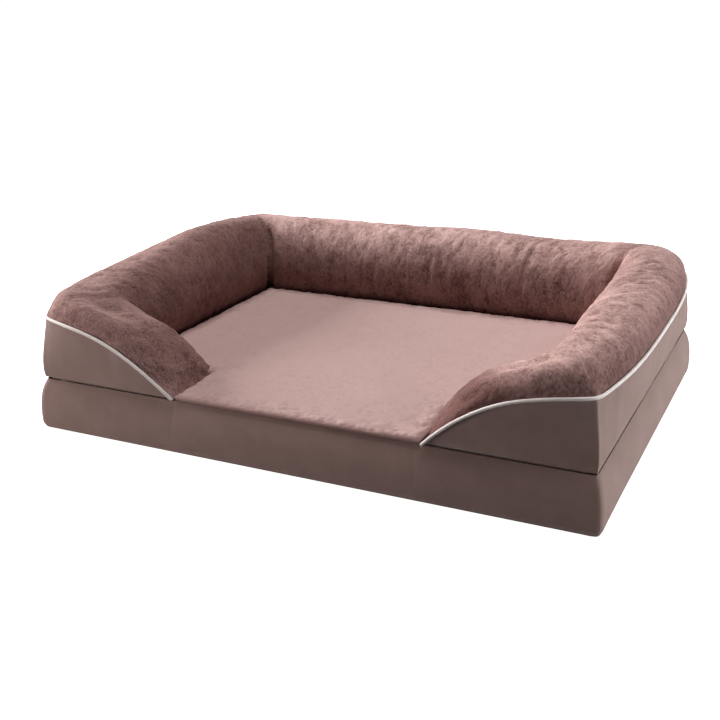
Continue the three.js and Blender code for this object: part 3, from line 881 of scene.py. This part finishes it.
def build_base():
    rings, firsts, sewn = simulate_base()
    fine = refine_both(rings, BAND_FINE)
    flat = cloth_coordinates(fine)
    up = flat[..., 1] / flat[0, -1, 1]
    away = smoothstep(up, 0, 0.12) * smoothstep(1 - up, 0, 0.1)
    seamless = np.concatenate([fine[..., :2], fine[..., 2:] * 0.5], axis=-1)
    tilted = seamless @ TILT
    waves = soft_noise(tilted, 0.11, SEED + 80) + 0.4 * soft_noise(tilted, 0.05, SEED + 81)
    puckers = soft_noise(tilted, 0.022, SEED + 84) * smoothstep(up, 0.55, 1)
    relief = (0.0014 * waves + 0.0003 * puckers) * away
    for first in firsts:
        place = flat[first * BAND_FINE, 0, 0]
        relief -= crease(flat[..., 0] - place, 0.005, 0.0003) * away
    out = normals(fine)
    fine = fine + out * relief[..., None]
    for name, first, last in zip(BANDS, firsts, firsts[1:]):
        outer, facing = (piece_columns(grid, first, last, BAND_FINE) for grid in (fine, out))
        band = closed_sheet(name + "_cloth", outer, facing, FABRIC)
        if name == "back_band":
            cut_slot(band)
        settle(band, WOVEN, [name])
        declare_cloth(sewn[first:last + 1])


def cut_slot(band):
    """The slot for the zip, cut through the back band with rounded ends."""
    angle = np.linspace(-math.pi / 2, math.pi / 2, 9)
    right = ZIP_HALF * points_at(np.cos(angle), np.sin(angle)) + [ZIP_REACH - ZIP_HALF, 0]
    x, z = np.concatenate([right, -right]).T
    rings = [points_at(x, HALF_DEPTH + y, ZIP_MIDDLE + z) for y in (-0.02, 0.02)]
    tool = make_mesh("slot_tool", *tube_mesh_data(np.stack(rings)))
    modifier = band.modifiers.new("slot", "BOOLEAN")
    set_all(modifier, object=tool, operation="DIFFERENCE", solver="EXACT")
    apply_modifiers(band)
    bpy.data.objects.remove(tool)


build_base()


def pad_lines(*stops, step):
    """Grid lines through the stops, close together beside each and step apart between them."""
    near = np.array([0, 0.0006, 0.0014, 0.0026, 0.0042, 0.0062])
    lines = [stops[0]]
    for low, high in zip(stops, stops[1:]):
        middle = np.linspace(low + near[-1], high - near[-1], max(2, round((high - low) / step)))
        lines += [*(low + near[1:-1]), *middle, *(high - near[1:-1][::-1]), high]
    return np.array(lines)


def inside_depth(x, y, boxes):
    """How far each point is inside a union of boxes."""
    depth = np.full(x.shape, -1.0)
    for (x0, y0), (x1, y1) in boxes:
        depth = np.maximum(depth, np.minimum(np.minimum(x - x0, x1 - x), np.minimum(y - y0, y1 - y)))
    return depth


def pad_grid(xs, ys, *boxes):
    """Grid points over a union of boxes: x, y, how far inside each one is, and the cells inside."""
    x, y = np.meshgrid(xs, ys, indexing="ij")
    middles = ((line[:-1] + line[1:]) / 2 for line in (xs, ys))
    cells = inside_depth(*np.meshgrid(*middles, indexing="ij"), boxes) > 0
    return x, y, inside_depth(x, y, boxes), cells


def build_pad(name, grid, top, bottom):
    """A closed pad over a grid, with a top and a bottom surface that meet at its edge."""
    x, y, depth, cells = grid
    corners = np.zeros(x.shape, bool)
    for dx, dy in np.ndindex(2, 2):
        corners[dx:dx + cells.shape[0], dy:dy + cells.shape[1]] |= cells
    edge = corners & (depth < 1e-6)
    top_index = np.full(x.shape, -1)
    top_index[corners] = np.arange(corners.sum())
    under = corners & ~edge
    bottom_index = np.where(edge, top_index, -1)
    bottom_index[under] = corners.sum() + np.arange(under.sum())
    faces = []
    i, j = np.nonzero(cells)
    for index, flip in ((top_index, False), (bottom_index, True)):
        quad = np.stack([index[i, j], index[i + 1, j], index[i + 1, j + 1], index[i, j + 1]], axis=-1)
        faces += (quad[:, ::-1] if flip else quad).tolist()
    obj = make_mesh(name, np.concatenate([top[corners], bottom[under]]), faces)
    plan = points_at(x, y, 0)
    set_cloth(obj, plan[corners], plan[under])
    return obj, corners


def beside_tip(x, y):
    """x moved outwards beside the shorter front bolster, so that the panel meets it."""
    inward = y + HALF_DEPTH
    near = smoothstep(x, 0, STEM) * fading(x, STEM, STEM + 0.07)
    return x + RIGHT_TIP_SHORT * near * fading(inward, FOOT, 0.16)


def build_sleeping_panel():
    """The short-piled top: fluffier towards its seams, and with a lower lip at the entrance."""
    side, back, front = PANEL_BOX[1].x, PANEL_BOX[1].y, PANEL_BOX[0].y
    grid = pad_grid(
        pad_lines(-side, -STEM, STEM, side, step=0.0024), pad_lines(front, -back, back, step=0.0024),
        ((-side, -back), (side, back)), ((-STEM, front), (STEM, 0))
    )
    x, y, depth = grid[:3]
    place = points_at(x, y, 0)
    swirl = place + 0.004 * noise_vectors(place, 0.02, SEED + 90)
    clump = clumps(swirl * [1, 0.7, 1], CLUMP, SEED + 94)
    tuft = layered_noise(swirl, 0.014, SEED + 95)
    lumps = layered_noise(place, 0.10, SEED + 98)
    crown = 0.0038 * smoothstep(depth, 0, 0.12)
    at_front = fading(y, front + 0.03, front + 0.09)
    lip = at_front * fading(depth, 0.004, 0.02)
    height = (0.0100 - 0.0065 * at_front) * rolled(depth, 0.010 - 0.004 * at_front) + crown
    height += 0.0008 * lumps * smoothstep(depth, 0, 0.05)
    edge = fading(depth, 0.005, 0.05)
    fluff = (0.0005 + 0.0012 * edge) * (clump - 0.5) + (0.0002 + 0.0012 * edge) * tuft
    fluff += 0.0016 * (tuft + clump - 0.5) * lip
    height += fluff * smoothstep(depth, 0, 0.003)
    # Pile tone: random clumps and tufts; then painted shade, darkest in a thin line along the seam,
    # darker near the edges beside the bolsters, and on the front lip.
    shade = 0.42 + (0.28 + 0.25 * edge) * clump + (0.08 + 0.3 * edge) * tuft + 0.05 * lumps
    shade = shade - 0.5 * fading(depth, 0, 0.007) - 0.22 * edge - 0.10 * lip
    x = beside_tip(x, y)
    seam = PANEL_BOX[0].z + PANEL_UNDER
    top = points_at(x, y, seam + height)
    bottom = points_at(x, y, seam - PANEL_UNDER * rolled(depth, 0.004))
    obj, corners = build_pad("sleeping_panel_pad", grid, top, bottom)
    set_attribute(obj, "pile", shade[corners])
    settle(obj, SLEEP_PLUSH, ["sleeping_panel"])


def build_foam():
    """The foam slab, with rounded edges and slight dents in its faces."""
    (x0, y0, z0), (x1, y1, z1) = FOAM_BOX
    x0, y0, x1, y1 = x0 + FOAM_GAP, y0 + FOAM_GAP, x1 - FOAM_GAP, y1 - FOAM_GAP
    grid = pad_grid(pad_lines(x0, x1, step=0.012), pad_lines(y0, y1, step=0.012), ((x0, y0), (x1, y1)))
    x, y, depth = grid[:3]
    middle, half = (z0 + z1) / 2, (z1 - z0) / 2 - 0.0005
    faces = []
    for sign in (1, -1):
        dents = 0.0006 * layered_noise(points_at(x, y, 0), 0.08, SEED + 100 + sign)
        rise = half * rolled(depth, FOAM_ROUND) - 0.0006 - dents * (depth > FOAM_ROUND)
        faces.append(points_at(x, y, middle + sign * rise))
    obj, _ = build_pad("foam_slab", grid, *faces)
    settle(obj, FOAM, ["foam_mattress"])


def copy_node(name, new_name):
    """A new piece with the shape of a CAD node."""
    return add_object(new_name, bpy.data.objects[name].data.copy())


def soften(obj, width):
    """Rounds the hard edges of a piece and leaves it smooth."""
    modifier = obj.modifiers.new("round", "BEVEL")
    set_all(modifier, width=width, segments=3, limit_method="ANGLE", angle_limit=math.radians(35))
    apply_modifiers(obj)
    obj.data.polygons.foreach_set("use_smooth", [True] * len(obj.data.polygons))


def build_deck():
    """The lining under the bolsters, drawn in with the seam round the base."""
    deck = copy_node("bolster_deck", "bolster_deck_lining")
    for vertex in deck.data.vertices:
        for axis, half in ((0, HALF_WIDTH), (1, HALF_DEPTH)):
            if abs(vertex.co[axis]) > half - 0.03:
                vertex.co[axis] *= 1 - DECK_INSET / half
    set_cloth(deck, np.array([list(v.co) for v in deck.data.vertices]))
    settle(deck, LINING, ["bolster_deck"])


DOT_PITCH = 0.026
ROUND = np.linspace(0, 2 * math.pi, 10, endpoint=False)  # angles round a grip dot or a tooth


def build_bottom():
    """The panel under the base, with a grid of soft grip dots."""
    x1, y1 = HALF_WIDTH - BOTTOM_INSET, HALF_DEPTH - BOTTOM_INSET
    low, high = 0.0009, FABRIC
    grid = pad_grid(
        pad_lines(-x1, x1, step=0.010), pad_lines(-y1, y1, step=0.010), ((-x1, -y1), (x1, y1))
    )
    x, y = grid[:2]
    panel, _ = build_pad("bottom_panel_cloth", grid, points_at(x, y, high), points_at(x, y, low))
    settle(panel, BOTTOM, ["bottom_panel"])
    dots, faces = [], []
    rings = [(0.0030, low + 0.0002), (0.0030, 0.0005), (0.0018, 0.0001)]  # radius and height
    for i, x in enumerate(np.arange(-x1 + 0.02, x1 - 0.01, DOT_PITCH)):
        for y in np.arange(-y1 + 0.02 + DOT_PITCH / 2 * (i % 2), y1 - 0.01, DOT_PITCH):
            faces += ring_faces(len(dots), len(rings), len(ROUND), flip=True)
            for radius, z in rings:
                dots += [(x + radius * math.cos(a), y + radius * math.sin(a), z) for a in ROUND]
    grip = make_mesh("bottom_grip_dots", dots, faces)
    settle(grip, LINING)


build_sleeping_panel()
build_foam()
build_deck()
build_bottom()


# ---- Zip ----
TOOTH_PITCH = 0.0016
TAPE_THICK = 0.0006


def build_teeth(name):
    """One row of a coil zip: a loop of nylon for each tooth, side by side along the tape."""
    low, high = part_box(name)
    middle, half = (low + high) / 2, (high - low) / 2
    up = np.linspace(-math.pi / 2, math.pi / 2, 7)[:, None]
    bulk = np.maximum(0.08, np.cos(up) ** 0.6)
    tooth = points_at(
        0.46 * TOOTH_PITCH * bulk * np.cos(ROUND), half.y * bulk * np.sin(ROUND), half.z * np.sin(up)
    )
    points, faces = [], []
    for x in np.arange(low.x + TOOTH_PITCH / 2, high.x, TOOTH_PITCH):
        faces += ring_faces(len(points), len(up), len(ROUND))
        points += (tooth.reshape(-1, 3) + [x, middle.y, middle.z]).tolist()
    settle(make_mesh(name + "_coil", points, faces), ZIP_TEETH, [name])


def build_tape(name):
    """A tape of the zip, with a slight wave along it."""
    low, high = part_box(name)
    x = np.linspace(high.x, low.x, 220)
    z = np.linspace(low.z, high.z, 7)
    grid = np.zeros((len(x), len(z), 3))
    grid[..., 0] = x[:, None]
    wave = soft_noise(grid + [0, 0, 1], 0.02, SEED + 110)
    grid[..., 1] = high.y - 0.00015 + 0.00012 * wave
    grid[..., 2] = z[None]
    tape = settle(closed_sheet(name + "_cloth", grid, normals(grid), TAPE_THICK), ZIP_TAPE, [name])


for row in ("zip_teeth_upper", "zip_teeth_lower"):
    build_teeth(row)
for tape in ("zip_tape_upper", "zip_tape_lower"):
    build_tape(tape)
ZIP_BODIES = dict(zip_stop_closed="root", zip_stop_open="root", zip_slider="slider", zip_pull="pull")
for part, body in ZIP_BODIES.items():
    metal = copy_node(part, part + "_metal")
    soften(metal, 0.0003)
    settle(metal, ZIP_METAL, [part], body)


# ---- Stage, light and camera ----
def add_light(name, place, aim, size, power, colour=(1, 1, 1)):
    data = bpy.data.lights.new(name, "AREA")
    set_all(data, shape="RECTANGLE", size=size[0], size_y=size[1], energy=power, color=colour)
    turn = (Vector(aim) - Vector(place)).to_track_quat("-Z", "Y").to_euler()
    set_all(add_object(name, data), location=place, rotation_euler=turn, visible_camera=False)


def build_stage():
    half = 60
    corners = [(-half, -half, 0), (half, -half, 0), (half, half, 0), (-half, half, 0)]
    floor = make_mesh("floor", corners, [(0, 1, 2, 3)], smooth=False)
    tree, shader, material = new_material("floor")
    feed(tree, shader, Base_Color=(0.9, 0.9, 0.9, 1), Roughness=0.9, Emission_Color=(1, 1, 1, 1),
         Emission_Strength=1.0)
    floor.data.materials.append(material)
    floor.visible_diffuse = False
    world = bpy.data.worlds.new("studio")
    bpy.context.scene.world = world
    world.use_nodes = True
    tree = world.node_tree
    # The world is white to the camera, and hardly lights the bed.
    dim = feed(tree, tree.nodes["Background"], Color=(1.0, 0.80, 0.76, 1), Strength=0.02)
    pale = node(tree, "Background", Color=(1, 1, 1, 1), Strength=1.0).outputs[0]
    seen = node(tree, "LightPath").outputs["Is Camera Ray"]
    both = node(tree, "MixShader", i0=seen, i1=dim.outputs[0], i2=pale).outputs[0]
    feed(tree, tree.nodes["World Output"], Surface=both)
    add_light("key", (-2.2, 0.2, 0.95), (0.1, 0, 0.1), (0.7, 0.7), 60)
    add_light("overhead", (0, 0, 2.3), (0, 0, 0.1), (1.5, 1.5), 40, (1, 0.97, 0.96))
    add_light("right_fill", (1.6, 0.2, 0.10), (0.4, 0, 0.10), (1.2, 0.15), 18)
    add_light("back_fill", (0.2, 2.2, 0.35), (0, 0.3, 0.1), (1.6, 0.3), 24)
    add_light("left_fill", (-1.3, -1.2, 0.12), (-0.4, -0.29, 0.1), (0.8, 0.2), 13.5, (1, 0.90, 0.87))


CAMERA_PLACE = Vector((0.625, -1.357, 0.6025))
CAMERA_AIM = Vector((0.018, -0.111, 0.100))
CAMERA_ROLL = math.radians(-1.1)
CAMERA_LENS = 52.8


def build_camera():
    data = bpy.data.cameras.new("camera")
    set_all(data, lens=CAMERA_LENS, sensor_width=36)
    camera = add_object("camera", data)
    ahead = CAMERA_AIM - CAMERA_PLACE
    level = ahead.to_track_quat("-Z", "Y").to_matrix().to_4x4()
    roll = Matrix.Rotation(CAMERA_ROLL, 4, "Z")
    camera.matrix_world = Matrix.Translation(CAMERA_PLACE) @ level @ roll
    bpy.context.scene.camera = camera


build_stage()
build_camera()
bpy.context.scene.view_settings.view_transform = "Standard"
